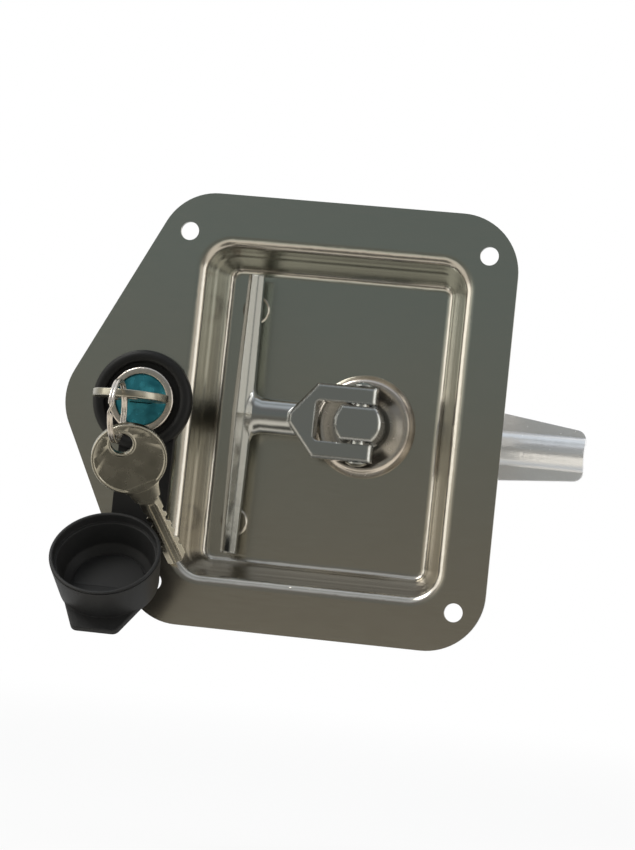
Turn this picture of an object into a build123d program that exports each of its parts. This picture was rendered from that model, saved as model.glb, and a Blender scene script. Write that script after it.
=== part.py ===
from build123d import *
import os
from math import atan2, cos, degrees, hypot, radians, sin, sqrt, tan

# Flush folding T-handle latch with an offset key cylinder and a rubber dust cap.
# X runs along the latch arm, Z is up, Y goes into the door. The origin is the centre of
# the four-hole pattern, on the back face of the flange, and the front looks along -Y.

os.makedirs("parts", exist_ok=True)

# Recessed pan, in millimetres
sheet = 1.5
pan_depth = 18.3
rim_half_width = 46.1
rim_half_height = 57.65
rim_corner = 10.0
wall_lean_x = 6.9
wall_lean_z = 6.45
floor_half_width = rim_half_width - wall_lean_x
floor_half_height = rim_half_height - wall_lean_z
floor_corner = 3.8
rim_bend = 4.0
floor_bend = 3.0

# Flange round the pan
border_x = 16.7
border_z = 17.25
ear_border = 9.3
lock_border = 16.2
ear_margin = 30.1
screw_border_x = 6.25
screw_border_z = 3.35
flange_right = rim_half_width + border_x
flange_half_height = rim_half_height + border_z
flange_corner = 20.5
ear_shoulder = -(rim_half_width + ear_border)
ear_corner = 20.0
ear_round = 21.0
screw_spacing_x = 2 * (rim_half_width + screw_border_x)
screw_spacing_z = 2 * (rim_half_height + screw_border_z)
screw_hole = 3.2
lock_x = -(rim_half_width + lock_border)
lock_z = 0.8
ear_point = lock_x - ear_margin

# Shaft line and its bearings
shaft_x = 12.7
shaft_z = 0.0
shaft_radius = 8.0
running_gap = 0.08
face_gap = 0.1
head_radius = 8.2
head_flat = 5.9
head_recess = 0.7
head_bevel = 0.7
stud_bevel = 0.8
pin_fit = 0.02
square_side = 10.6
square_gap = 0.1
hub_radius = 10.4
hub_gap = 0.1
hub_proud = 0.3
rosette_radius = 18.0
rosette_height = 3.0
rosette_bead = 1.5
rosette_dish = 1.1
rosette_land = 2.0
rosette_crest = 0.35
rosette_fall = 3.9
bushing_nut_thickness = 2.2
bushing_nut_flats = 26.0
thrust_washer_thickness = 0.7
thrust_washer_radius = 10.0
lock_plate_thickness = 2.5
lock_plate_radius = 20.5
bracket_sheet = 2.2
bracket_gap = 1.5
sleeve_radius = 9.0
sleeve_length = 4.5

# Latch arm
arm_thickness = 3.0
arm_tip = 89.0
arm_hub_radius = 15.5
arm_tip_top = 6.2
arm_tip_bottom = -11.0
arm_mid_x = 59.0
arm_mid_top = 10.2
arm_mid_bottom = -13.4
arm_tip_corner = 3.5
ridge_entry = 0.3
ridge_gap = 2.0
ridge_fade = 9.0
ridge_radius = 6.0
ridge_centre = -2.0
ridge_height = 5.0
ridge_wall = 2.1
arm_washer_radius = 11.0
arm_washer_thickness = 1.6
arm_nut_flats = 17.0
arm_nut_thickness = 6.5
stud_radius = 5.0
stud_proud = 2.0

# Folding handle
pin_depth = 8.0
pin_radius = 2.5
pin_head_radius = 3.6
pin_head_thickness = 1.3
pin_head_gap = 0.15
fork_front = 3.8
fork_thickness = 8.0
fork_half_height = 13.0
fork_window = 7.0
fork_window_corner = 1.8
fork_tip = -12.0
fork_shoulder = -2.7
fork_reach = 5.3
fork_bevel = 0.9
fork_heel = 2.6
fork_apex = 1.6
stem_entry = 2.2
stem_half_height = 6.2
stem_half_depth = 4.0
bar_depth = 8.6
grip_distance = 41.4
grip_half_length = 48.5
grip_middle = 6.9
grip_end = 5.3
grip_depth_middle = 8.4
grip_depth_end = 6.0
grip_facet = 0.3
grip_fillet = 3.2

# Rear bracket, rivets and turn stop
rivet_inset_x = 9.7
rivet_inset_z = 13.9
rivet_x = rivet_inset_x - floor_half_width
rivet_spacing_z = 2 * (floor_half_height - rivet_inset_z)
rivet_radius = 2.6
rivet_head_radius = 4.9
rivet_head_height = 0.5
rivet_tail_radius = 4.2
rivet_tail_height = 1.8
rivet_edge = 0.8
rivet_crown = 1.2
bracket_arm_half_width = 8.0
bracket_hub_radius = 20.0
foot_length = 10.3217
joggle_angle = 60.0
stop_radius = 15.4
stop_angle = 45.0
stop_pin_radius = 2.2
stop_pin_gap = 0.4
stop_pin_flange = 0.9
stop_pin_bevel = 0.4
stop_pin_head = 0.4
turn_range = 90.0
tail_reach = 43.5
tail_width = 9.5
tail_rest_gap = 0.5

# Key cylinder
bezel_radius = 11.4
bezel_height = 4.5
bezel_round = 0.9
body_radius = 9.5
body_flat = 8.2
body_hole_gap = 0.15
housing_length = 22.4
plug_radius = 6.5
plug_gap = 0.08
plug_head_radius = 8.95
plug_head_thickness = 2.0
plug_sunk = 0.5
plug_bevel = 0.4
tang_side = 7.2
tang_gap = 0.1
cam_reach = 36.0
cam_half_width = 4.5
cam_hub_radius = 8.5
cam_screw_radius = 2.0
cam_screw_length = 4.4
cam_screw_head_flats = 8.0
cam_screw_head = 3.2
cam_screw_bevel = 0.5
cam_screw_relief = 0.3
cam_washer_radius = 5.4
cam_washer_thickness = 1.0
lock_washer_thickness = 1.0
lock_washer_radius = 12.5
lock_nut_flats = 24.0
lock_nut_thickness = 4.5
wafer_count = 5
wafer_thickness = 1.1
wafer_half_width = 3.9
wafer_pitch = 3.2
wafer_first = 3.5
wafer_gap = 0.1

# Keys and split ring
bow_radius = 12.85
key_thickness = 2.0
key_bead = 0.25
key_bead_width = 1.0
key_hole_radius = 3.75
key_hole_edge = 2.85
key_neck_half_width = 5.6
key_shoulder = 16.2
key_shoulder_half_width = 4.4
blade_half_width = 3.6
key_length = 42.0
key_point = 2.2
key_tip_corner = 0.6
key_neck_end = 11.85
key_groove_width = 1.8
key_groove_depth = 0.5
key_groove_start = 18.2
keyway_gap = 0.2
notch_first = 22.0
notch_pitch = 3.4
notch_depths = (0.7, 1.1, 0.5, 1.0, 0.6)
notch_half_width = 0.9
ring_radius = 10.2
ring_wire = 1.25
ring_width = 2.0
ring_lean = 1.0
ring_drop = 6.4
ring_side = 1.0
ring_inward = 0.9
ring_hang_angle = 35.0
key_lean = 26.5
key_tilt = 30.0
hang_gap = 0.85

# Rubber ring, strap and dust cap
seal_web = 1.2
seal_radius = 17.4
seal_height = 4.3
seal_groove_radius = 13.2
strap_side = 2.9
strap_length = 50.3
strap_x = lock_x + strap_side
strap_half_width = 9.5
strap_thickness = 1.8
hinge_z = lock_z - strap_length
hinge_gap = 0.3
cap_side = 2.1
cap_x = lock_x - cap_side
cap_mouth_radius = 19.0
cap_end_radius = 17.0
cap_depth = 16.0
cap_wall = 1.7
cap_lip_depth = 3.2
cap_lip_step = 1.0
cap_inner_floor = 12.5
cap_floor_thickness = 2.0
cap_open_angle = 138.0
cap_rim = 1.2
cap_lip_inset = 1.3
cap_floor_bevel = 2.4
hinge_share = 0.7
tab_thickness = 2.2
tab_start = 3.0
tab_end = 22.5
tab_half_width = 7.7
tab_corner = 1.5
tab_inset = 0.4

# Depths that follow from the sizes above; "back" means further into the door
face = -sheet
floor = face + pan_depth
floor_back = floor + sheet
hub_end = floor_back + bushing_nut_thickness + hub_proud
plate_front = hub_end + face_gap + thrust_washer_thickness
plate_back = plate_front + lock_plate_thickness
bracket_front = plate_back + bracket_gap
bracket_back = bracket_front + bracket_sheet
arm_front = plate_back + sleeve_length
arm_back = arm_front + arm_thickness
shaft_end = arm_back + arm_washer_thickness + arm_nut_thickness + stud_proud
pin_y = face + pin_depth


def at_depth(y):
    """Plane across the latch at depth y: local x is X, local y is Z, and it faces the front."""
    return Plane.XZ.offset(-y)


def turned_at(x, z):
    """Plane through the axis at (x, z) for a turned profile: local x is the radius, local y is Y."""
    return Plane(origin=(x, 0, z), x_dir=(1, 0, 0), z_dir=(0, 0, 1))


def axis_at(x, z):
    """Axis along Y through (x, z)."""
    return Axis((x, 0, z), (0, 1, 0))


def save(piece, name):
    """Label one finished piece and write it."""
    piece.part.label = name
    export_step(piece.part, f"parts/{name}.step")


def washer(name, x, z, front, thickness, outer, inner):
    """A flat washer standing on depth front."""
    with BuildPart() as piece:
        with BuildSketch(at_depth(front)):
            with Locations((x, z)):
                Circle(outer)
                Circle(inner, mode=Mode.SUBTRACT)
        extrude(amount=-thickness)
    save(piece, name)


def hexagon(name, x, z, front, thickness, flats, inner):
    """A hexagon nut with bevelled corners."""
    corner = flats / 2 / cos(radians(30))
    bevel = (corner - flats / 2) * tan(radians(20))
    with BuildPart() as piece:
        with BuildSketch(at_depth(front)):
            with Locations((x, z)):
                RegularPolygon(corner, 6)
                Circle(inner, mode=Mode.SUBTRACT)
        extrude(amount=-thickness)
        with BuildSketch(turned_at(x, z)):
            with BuildLine():
                Polyline(
                    (0, front), (flats / 2, front), (corner, front + bevel),
                    (corner, front + thickness - bevel), (flats / 2, front + thickness),
                    (0, front + thickness), close=True,
                )
            make_face()
        revolve(axis=axis_at(x, z), mode=Mode.INTERSECT)
    save(piece, name)


# Pan and flange, one pressing of even sheet
draft = atan2(rim_half_width - floor_half_width, pan_depth)
wall_out = sheet / cos(draft)
floor_out = wall_out - sheet * tan(draft)
rivet_places = [(rivet_x, rivet_spacing_z / 2), (rivet_x, -rivet_spacing_z / 2)]

with BuildPart() as pan:
    with BuildSketch(at_depth(face)) as flange:
        with BuildLine():
            Polyline(
                (flange_right, flange_half_height), (ear_shoulder, flange_half_height), (ear_point, 0),
                (ear_shoulder, -flange_half_height), (flange_right, -flange_half_height), close=True,
            )
        make_face()
        fillet(flange.vertices().group_by(Axis.X)[-1], radius=flange_corner)
        fillet(flange.vertices().group_by(Axis.X)[1], radius=ear_corner)
        fillet(flange.vertices().group_by(Axis.X)[0], radius=ear_round)
    extrude(amount=-sheet)
    with BuildSketch(at_depth(face)):
        RectangleRounded(2 * (rim_half_width + wall_out), 2 * (rim_half_height + wall_out),
                         rim_corner + sheet)
    with BuildSketch(at_depth(floor_back)):
        RectangleRounded(2 * (floor_half_width + floor_out), 2 * (floor_half_height + floor_out),
                         floor_corner + sheet)
    loft(ruled=True)
    with BuildSketch(at_depth(face)):
        RectangleRounded(2 * rim_half_width, 2 * rim_half_height, rim_corner)
    with BuildSketch(at_depth(floor)):
        RectangleRounded(2 * floor_half_width, 2 * floor_half_height, floor_corner)
    loft(ruled=True, mode=Mode.SUBTRACT)
    # The four bends, inside and outside of the sheet
    for depth, radius in ((face, rim_bend), (0, rim_bend - sheet), (floor, floor_bend),
                          (floor_back, floor_bend + sheet)):
        level = [edge for edge in pan.edges() if abs(edge.center().Y - depth) < 0.01]
        fillet([edge for edge in level if abs(edge.center().X) < rim_half_width + wall_out + 1
                and abs(edge.center().Z) < rim_half_height + wall_out + 1], radius=radius)
    # Screw holes, rivet holes, the shaft hole and the flatted hole of the cylinder
    with BuildSketch(at_depth(face)):
        with GridLocations(screw_spacing_x, screw_spacing_z, 2, 2):
            Circle(screw_hole)
    extrude(amount=-sheet, mode=Mode.SUBTRACT)
    with BuildSketch(at_depth(face)):
        with Locations((lock_x, lock_z)):
            Circle(body_radius + body_hole_gap)
            Rectangle(2 * body_radius + 1, 2 * (body_flat + body_hole_gap), mode=Mode.INTERSECT)
    extrude(amount=-sheet, mode=Mode.SUBTRACT)
    with BuildSketch(at_depth(floor)):
        with Locations((shaft_x, shaft_z)):
            Circle(hub_radius + hub_gap)
        with Locations(*rivet_places):
            Circle(rivet_radius)
    extrude(amount=-sheet, mode=Mode.SUBTRACT)
save(pan, "pan")

# Chromed rosette with a hub that is the front bearing of the shaft
with BuildPart() as rosette:
    with BuildSketch(turned_at(shaft_x, shaft_z)):
        with BuildLine():
            bead_top = floor - rosette_height
            bead_out = (rosette_radius, floor - rosette_bead)
            bead_mid = (rosette_radius - rosette_bead, bead_top)
            land = (shaft_radius + rosette_land, floor - rosette_dish)
            bore = shaft_radius + running_gap
            Polyline((bore, floor - rosette_dish), (bore, hub_end), (hub_radius, hub_end),
                     (hub_radius, floor), (rosette_radius, floor), bead_out)
            RadiusArc(bead_out, bead_mid, rosette_bead)
            Spline(bead_mid, (rosette_radius - rosette_fall, bead_top + rosette_crest), land,
                   tangents=((-1, 0), (-1, 0)))
            Line(land, (bore, floor - rosette_dish))
        make_face()
    revolve(axis=axis_at(shaft_x, shaft_z))
save(rosette, "rosette_bushing")

hexagon("bushing_nut", shaft_x, shaft_z, floor_back, bushing_nut_thickness, bushing_nut_flats,
        hub_radius + hub_gap)

# Rear bracket: two joggled arms from the riveted feet to the rear bearing
joggle = radians(joggle_angle)
joggle_run = (bracket_back - floor_back - bracket_sheet) / tan(joggle)
bend_shift = bracket_sheet * tan(joggle / 2)
foot_end = hypot(rivet_x - shaft_x, rivet_spacing_z / 2)
joggle_start = foot_end - foot_length
stop_place = (
    shaft_x + stop_radius * cos(radians(stop_angle)), shaft_z + stop_radius * sin(radians(stop_angle))
)


def bracket_arm_plane(side):
    """Plane along one bracket arm: local x runs from the shaft to the rivet, local y is Y."""
    along = Vector(rivet_x - shaft_x, 0, side * rivet_spacing_z / 2 - shaft_z).normalized()
    return Plane(origin=(shaft_x, 0, shaft_z), x_dir=along, z_dir=along.cross(Vector(0, 1, 0)))


with BuildPart() as bracket:
    for side in (1, -1):
        with BuildSketch(bracket_arm_plane(side)) as profile:
            with BuildLine():
                Polyline(
                    (0, bracket_back), (joggle_start, bracket_back),
                    (joggle_start + joggle_run, floor_back + bracket_sheet),
                    (foot_end, floor_back + bracket_sheet), (foot_end, floor_back),
                    (joggle_start + joggle_run - bend_shift, floor_back),
                    (joggle_start - bend_shift, bracket_front), (0, bracket_front), close=True,
                )
            make_face()
        extrude(amount=bracket_arm_half_width, both=True)
    with BuildSketch(at_depth(floor_back)):
        with Locations(*rivet_places):
            Circle(bracket_arm_half_width)
    extrude(amount=-bracket_sheet)
    with BuildSketch(at_depth(bracket_front)):
        with Locations((shaft_x, shaft_z)):
            Circle(bracket_hub_radius)
    extrude(amount=-bracket_sheet)
    with BuildSketch(at_depth(bracket_front)):
        with Locations((shaft_x, shaft_z)):
            Circle(sleeve_radius + running_gap)
        with Locations(stop_place):
            Circle(stop_pin_radius)
    extrude(amount=-bracket_sheet, mode=Mode.SUBTRACT)
    with BuildSketch(at_depth(floor_back)):
        with Locations(*rivet_places):
            Circle(rivet_radius)
    extrude(amount=-bracket_sheet, mode=Mode.SUBTRACT)
save(bracket, "rear_bracket")

# Two rivets, low round heads in the pan and set tails behind the bracket feet
with BuildPart() as rivets:
    for x, z in rivet_places:
        tail = floor_back + bracket_sheet
        with BuildSketch(turned_at(x, z)):
            with BuildLine():
                head_edge = (rivet_head_radius - rivet_edge, floor - rivet_head_height)
                Line((0, floor - rivet_head_height), head_edge)
                RadiusArc(head_edge, (rivet_head_radius, floor), rivet_crown)
                Polyline((rivet_head_radius, floor), (rivet_radius, floor), (rivet_radius, tail),
                         (rivet_tail_radius, tail),
                         (rivet_tail_radius - rivet_edge, tail + rivet_tail_height),
                         (0, tail + rivet_tail_height), (0, floor - rivet_head_height))
            make_face()
        revolve(axis=axis_at(x, z))
save(rivets, "rivets")

# Stop pin, riveted in the bracket and reaching through the slot of the locking plate
with BuildPart() as stop_pin:
    with BuildSketch(at_depth(plate_front)):
        with Locations(stop_place):
            Circle(stop_pin_radius)
    extrude(amount=plate_front - bracket_back)
    with BuildSketch(at_depth(bracket_back)):
        with Locations(stop_place):
            Circle(stop_pin_radius + stop_pin_flange)
    extrude(amount=-stop_pin_head)
    chamfer(stop_pin.faces().sort_by(Axis.Y)[0].edges(), length=stop_pin_bevel)
save(stop_pin, "stop_pin")

# Shaft: flatted head in the fork, round journal in the rosette, square for plate and arm, stud
with BuildPart() as shaft:
    with BuildSketch(at_depth(face + head_recess)):
        with Locations((shaft_x, shaft_z)):
            Circle(head_radius)
            Rectangle(2 * head_radius, 2 * head_flat, mode=Mode.INTERSECT)
    extrude(amount=face + head_recess - (floor - rosette_dish - face_gap))
    chamfer(shaft.faces().sort_by(Axis.Y)[0].edges(), length=head_bevel)
    with BuildSketch(at_depth(floor - rosette_dish - face_gap)):
        with Locations((shaft_x, shaft_z)):
            Circle(shaft_radius)
    extrude(amount=floor - rosette_dish - face_gap - (plate_front - thrust_washer_thickness))
    with BuildSketch(at_depth(plate_front - thrust_washer_thickness)):
        with Locations((shaft_x, shaft_z)):
            Rectangle(square_side, square_side)
    extrude(amount=plate_front - thrust_washer_thickness - arm_back)
    with BuildSketch(at_depth(arm_back)):
        with Locations((shaft_x, shaft_z)):
            Circle(stud_radius)
    extrude(amount=arm_back - shaft_end)
    chamfer(shaft.faces().sort_by(Axis.Y)[-1].edges(), length=stud_bevel)
    with BuildSketch(Plane.XY.offset(shaft_z - head_radius)):
        with Locations((shaft_x, pin_y)):
            Circle(pin_radius + pin_fit)
    extrude(amount=2 * head_radius, mode=Mode.SUBTRACT)
save(shaft, "shaft")

# Cross pin through the fork and the shaft head, with two low round heads
pin_seat = fork_half_height + pin_head_gap
with BuildPart() as cross_pin:
    with BuildSketch(Plane(origin=(shaft_x, pin_y, shaft_z), x_dir=(1, 0, 0), z_dir=(0, -1, 0))):
        with BuildLine():
            crown = pin_seat + pin_head_thickness
            rim = pin_seat + pin_head_thickness * 0.3
            Polyline(
                (0, crown), (pin_head_radius * 0.5, crown), (pin_head_radius, rim),
                (pin_head_radius, pin_seat), (pin_radius, pin_seat), (pin_radius, -pin_seat),
                (pin_head_radius, -pin_seat), (pin_head_radius, -rim), (pin_head_radius * 0.5, -crown),
                (0, -crown), close=True,
            )
        make_face()
    revolve(axis=Axis((shaft_x, pin_y, shaft_z), (0, 0, 1)))
save(cross_pin, "cross_pin")

# T handle: bevelled fork, oval stem and a tapered facetted grip
grip_x = shaft_x - grip_distance
grip_y = face + bar_depth
fork_y = face + fork_front


def grip_section(height, width, depth):
    """Facetted section of the grip at one height."""
    with BuildSketch(Plane.XY.offset(height).shift_origin((grip_x, grip_y, height))) as section:
        Rectangle(width, depth)
        chamfer(section.vertices(), length=grip_facet * min(width, depth))
    return section.sketch


def stem_section(x, half_height):
    """Oval section of the stem at x."""
    with BuildSketch(Plane(origin=(x, grip_y, shaft_z), x_dir=(0, 1, 0), z_dir=(1, 0, 0))) as section:
        Ellipse(stem_half_depth, half_height)
    return section.sketch


with BuildPart() as handle:
    with BuildSketch(at_depth(fork_y)) as fork:
        with BuildLine():
            Polyline(
                (fork_tip, fork_apex), (fork_shoulder, fork_half_height),
                (shaft_x + fork_reach, fork_half_height), (shaft_x + fork_reach, -fork_half_height),
                (fork_shoulder, -fork_half_height), (fork_tip, -fork_apex), close=True,
            )
        make_face()
    extrude(amount=-fork_thickness)
    chamfer(handle.faces().sort_by(Axis.Y)[0].edges(), length=fork_bevel)
    heel = handle.edges().filter_by(Axis.Z).group_by(Axis.X)[-1].sort_by(Axis.Y)[-1]
    fillet(heel, radius=fork_heel)
    with BuildSketch(at_depth(fork_y)) as window:
        with Locations((shaft_x + fork_reach, shaft_z)):
            Rectangle(2 * (shaft_x + fork_reach - fork_shoulder), 2 * fork_window)
        fillet(window.vertices().group_by(Axis.X)[0], radius=fork_window_corner)
    extrude(amount=-fork_thickness, mode=Mode.SUBTRACT)
    stem_start = grip_x + grip_middle / 2
    stem_end = stem_start + grip_fillet
    extrude(stem_section(stem_end, stem_half_height), amount=fork_shoulder - stem_entry - stem_end)
    # The stem flares where it meets the grip
    flare = [stem_section(grip_x, stem_half_height + grip_fillet)]
    for share in (0, 0.3, 1):
        rise = grip_fillet * (1 - sqrt(1 - (1 - share) ** 2))
        flare.append(stem_section(stem_start + share * grip_fillet, stem_half_height + rise))
    loft(flare, ruled=True)
    for end in (1, -1):
        middle = grip_section(shaft_z, grip_middle, grip_depth_middle)
        tip = grip_section(shaft_z + end * grip_half_length, grip_end, grip_depth_end)
        loft([middle, tip], ruled=True)
    with BuildSketch(Plane.XY.offset(shaft_z - fork_half_height)):
        with Locations((shaft_x, pin_y)):
            Circle(pin_radius + running_gap)
    extrude(amount=2 * fork_half_height, mode=Mode.SUBTRACT)
save(handle, "t_handle")

washer("thrust_washer", shaft_x, shaft_z, plate_front - thrust_washer_thickness, thrust_washer_thickness,
       thrust_washer_radius, square_side / sqrt(2) + square_gap)

# Locking plate: square hole, kidney slot for the stop pin and a tail above the cam
tail_low = lock_z + cam_half_width + tail_rest_gap
with BuildPart() as lock_plate:
    with BuildSketch(at_depth(plate_front)) as plate:
        with Locations((shaft_x, shaft_z)):
            Circle(lock_plate_radius)
        with Locations((shaft_x - tail_reach / 2, tail_low + tail_width / 2)):
            Rectangle(tail_reach, tail_width)
        with Locations((shaft_x, shaft_z)):
            Circle(tail_reach, mode=Mode.INTERSECT)
            Rectangle(square_side + 2 * square_gap, square_side + 2 * square_gap, mode=Mode.SUBTRACT)
    extrude(amount=-lock_plate_thickness)
    overrun = degrees(stop_pin_gap / stop_radius)
    with BuildSketch(at_depth(plate_front)):
        with BuildLine():
            CenterArc((shaft_x, shaft_z), stop_radius, stop_angle - turn_range - overrun,
                      turn_range + 2 * overrun)
            offset(amount=stop_pin_radius + stop_pin_gap)
        make_face()
    extrude(amount=-lock_plate_thickness, mode=Mode.SUBTRACT)
save(lock_plate, "locking_plate")

# Sleeve on the square, the rear journal of the shaft
with BuildPart() as sleeve:
    with BuildSketch(at_depth(plate_back)):
        with Locations((shaft_x, shaft_z)):
            Circle(sleeve_radius)
            Rectangle(square_side + 2 * square_gap, square_side + 2 * square_gap, mode=Mode.SUBTRACT)
    extrude(amount=-sleeve_length)
save(sleeve, "shaft_sleeve")


def ridge_section(x, base, half_width, height):
    """Half-round section of the pressed ridge at x, bulging forward from depth base."""
    with BuildSketch(Plane(origin=(x, base, ridge_centre), x_dir=(0, 0, 1), z_dir=(1, 0, 0))) as section:
        Ellipse(half_width, height)
        Rectangle(2 * half_width, height, align=(Align.CENTER, Align.MIN), mode=Mode.INTERSECT)
    return section.sketch


# Latch arm: pressed plate with a hollow half-round ridge that fades in behind the pan
with BuildPart() as arm:
    with BuildSketch(at_depth(arm_front)) as outline:
        with BuildLine():
            Polyline(
                (shaft_x, arm_hub_radius), (arm_mid_x, arm_mid_top), (arm_tip, arm_tip_top),
                (arm_tip, arm_tip_bottom), (arm_mid_x, arm_mid_bottom), (shaft_x, -arm_hub_radius),
                close=True,
            )
        make_face()
        fillet(outline.vertices().group_by(Axis.X)[-1], radius=arm_tip_corner)
        with Locations((shaft_x, shaft_z)):
            Circle(arm_hub_radius)
    extrude(amount=-arm_thickness)
    ridge_start = shaft_x + bracket_hub_radius + ridge_gap
    for base, half_width, way in ((arm_front, ridge_radius, Mode.ADD),
                                  (arm_back, ridge_radius - ridge_wall, Mode.SUBTRACT)):
        start = ridge_start + ridge_fade
        full = ridge_section(start, base, half_width, ridge_height)
        loft([ridge_section(ridge_start, base, half_width / 3, ridge_entry), full], ruled=True, mode=way)
        extrude(full, amount=arm_tip - start, mode=way)
    with BuildSketch(at_depth(arm_front)):
        with Locations((shaft_x, shaft_z)):
            Rectangle(square_side + 2 * square_gap, square_side + 2 * square_gap)
    extrude(amount=-arm_thickness, mode=Mode.SUBTRACT)
save(arm, "latch_arm")

washer("arm_washer", shaft_x, shaft_z, arm_back, arm_washer_thickness, arm_washer_radius,
       stud_radius + square_gap)
hexagon("arm_nut", shaft_x, shaft_z, arm_back + arm_washer_thickness, arm_nut_thickness, arm_nut_flats,
        stud_radius + square_gap)

# Cylinder housing: chromed bezel, flatted threaded body and the bore for the plug
bezel_front = face - bezel_height
bezel_seat = face - seal_web
housing_end = face + housing_length
plug_face = bezel_front + plug_sunk
plug_step = plug_face + plug_head_thickness
with BuildPart() as housing:
    with BuildSketch(at_depth(bezel_front)):
        with Locations((lock_x, lock_z)):
            Circle(bezel_radius)
    extrude(amount=bezel_front - bezel_seat)
    fillet(housing.faces().sort_by(Axis.Y)[0].edges(), radius=bezel_round)
    with BuildSketch(at_depth(bezel_seat)):
        with Locations((lock_x, lock_z)):
            Circle(body_radius)
            Rectangle(2 * body_radius + 1, 2 * body_flat, mode=Mode.INTERSECT)
    extrude(amount=bezel_seat - housing_end)
    with BuildSketch(at_depth(bezel_front)):
        with Locations((lock_x, lock_z)):
            Circle(plug_head_radius + plug_gap)
    extrude(amount=bezel_front - plug_step - face_gap, mode=Mode.SUBTRACT)
    with BuildSketch(at_depth(bezel_front)):
        with Locations((lock_x, lock_z)):
            Circle(plug_radius + plug_gap)
    extrude(amount=bezel_front - housing_end, mode=Mode.SUBTRACT)
save(housing, "cylinder_housing")

lock_nut_front = lock_washer_thickness
washer("cylinder_washer", lock_x, lock_z, 0, lock_washer_thickness, lock_washer_radius,
       body_radius + body_hole_gap)
hexagon("cylinder_nut", lock_x, lock_z, lock_nut_front, lock_nut_thickness, lock_nut_flats,
        body_radius + body_hole_gap)

# Plug with keyway, wafer slots and a square tang for the cam
cam_front = plate_front
cam_back = plate_back
keyway_end = plug_face + key_length - key_shoulder + 2 * keyway_gap
with BuildPart() as plug:
    with BuildSketch(at_depth(plug_face)):
        with Locations((lock_x, lock_z)):
            Circle(plug_head_radius)
    extrude(amount=plug_face - plug_step)
    chamfer(plug.faces().sort_by(Axis.Y)[0].edges(), length=plug_bevel)
    with BuildSketch(at_depth(plug_step)):
        with Locations((lock_x, lock_z)):
            Circle(plug_radius)
    extrude(amount=plug_step - cam_front + face_gap)
    with BuildSketch(at_depth(cam_front - face_gap)):
        with Locations((lock_x, lock_z)):
            Rectangle(tang_side, tang_side)
    extrude(amount=cam_front - face_gap - cam_back)
    with BuildSketch(at_depth(plug_face)):
        with Locations((lock_x, lock_z)):
            Rectangle(2 * (blade_half_width + keyway_gap), key_thickness + 2 * keyway_gap)
    extrude(amount=plug_face - keyway_end, mode=Mode.SUBTRACT)
    for count in range(wafer_count):
        wafer_front = plug_step + wafer_first + count * wafer_pitch
        with BuildSketch(at_depth(wafer_front - wafer_gap)):
            with Locations((lock_x, lock_z)):
                Rectangle(2 * plug_radius, 2 * (wafer_half_width + wafer_gap))
        extrude(amount=-(wafer_thickness + 2 * wafer_gap), mode=Mode.SUBTRACT)
    with BuildSketch(at_depth(cam_back)):
        with Locations((lock_x, lock_z)):
            Circle(cam_screw_radius)
    extrude(amount=cam_screw_length - cam_washer_thickness, mode=Mode.SUBTRACT)
save(plug, "plug")

# Wafers that the blade passes through
with BuildPart() as wafers:
    for count in range(wafer_count):
        wafer_front = plug_step + wafer_first + count * wafer_pitch
        with BuildSketch(at_depth(wafer_front)):
            with Locations((lock_x, lock_z)):
                Circle(plug_radius - wafer_gap)
                Rectangle(2 * plug_radius, 2 * wafer_half_width, mode=Mode.INTERSECT)
                Rectangle(2 * (blade_half_width + keyway_gap), key_thickness + 2 * keyway_gap,
                          mode=Mode.SUBTRACT)
        extrude(amount=-wafer_thickness)
save(wafers, "wafers")

# Cam that swings under the tail of the locking plate; unlocked it points down
with BuildPart() as cam:
    with BuildSketch(at_depth(cam_front)) as outline:
        with Locations((lock_x, lock_z - (cam_reach - cam_half_width) / 2)):
            Rectangle(2 * cam_half_width, cam_reach - cam_half_width)
        with Locations((lock_x, lock_z - cam_reach + cam_half_width)):
            Circle(cam_half_width)
        with Locations((lock_x, lock_z)):
            Circle(cam_hub_radius)
            Rectangle(tang_side + 2 * tang_gap, tang_side + 2 * tang_gap, mode=Mode.SUBTRACT)
    extrude(amount=cam_front - cam_back)
save(cam, "cam")

washer("cam_washer", lock_x, lock_z, cam_back, cam_washer_thickness, cam_washer_radius,
       cam_screw_radius + 2 * face_gap)

# Cam screw with a hexagon head
screw_seat = cam_back + cam_washer_thickness
with BuildPart() as cam_screw:
    with BuildSketch(at_depth(screw_seat)):
        with Locations((lock_x, lock_z)):
            RegularPolygon(cam_screw_head_flats / 2 / cos(radians(30)), 6)
    extrude(amount=-cam_screw_head)
    chamfer(cam_screw.faces().sort_by(Axis.Y)[-1].edges(), length=cam_screw_bevel)
    with BuildSketch(at_depth(screw_seat)):
        with Locations((lock_x, lock_z)):
            Circle(cam_screw_radius - pin_fit)
    extrude(amount=cam_screw_length - cam_screw_relief)
save(cam_screw, "cam_screw")

# Split ring and the key that hangs on it; every place below follows from the key in the lock
bow_y = plug_face - key_shoulder
lean = radians(ring_lean)
ring_down = Vector(sin(lean), 0, -cos(lean))
hole_from_bow = bow_radius - key_hole_radius - key_hole_edge
hook = Vector(lock_x - ring_side, bow_y - hole_from_bow + ring_inward, lock_z)
half_chord = sqrt(ring_radius ** 2 - ring_drop ** 2)
ring_centre = hook + ring_down * ring_drop - Vector(0, half_chord, 0)
hang = radians(ring_hang_angle)
hang_point = ring_centre + ring_down * (ring_radius * cos(hang)) + Vector(0, ring_radius * sin(hang), 0)
side, tilt = radians(key_lean), radians(key_tilt)
key_down = Vector(cos(tilt) * sin(side), sin(tilt), -cos(tilt) * cos(side))
key_across = Vector(cos(side), 0, sin(side))
hole_drop = key_hole_radius - ring_wire / 2 - hang_gap
hanging_bow = hang_point + key_down * (hole_drop + hole_from_bow)


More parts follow.
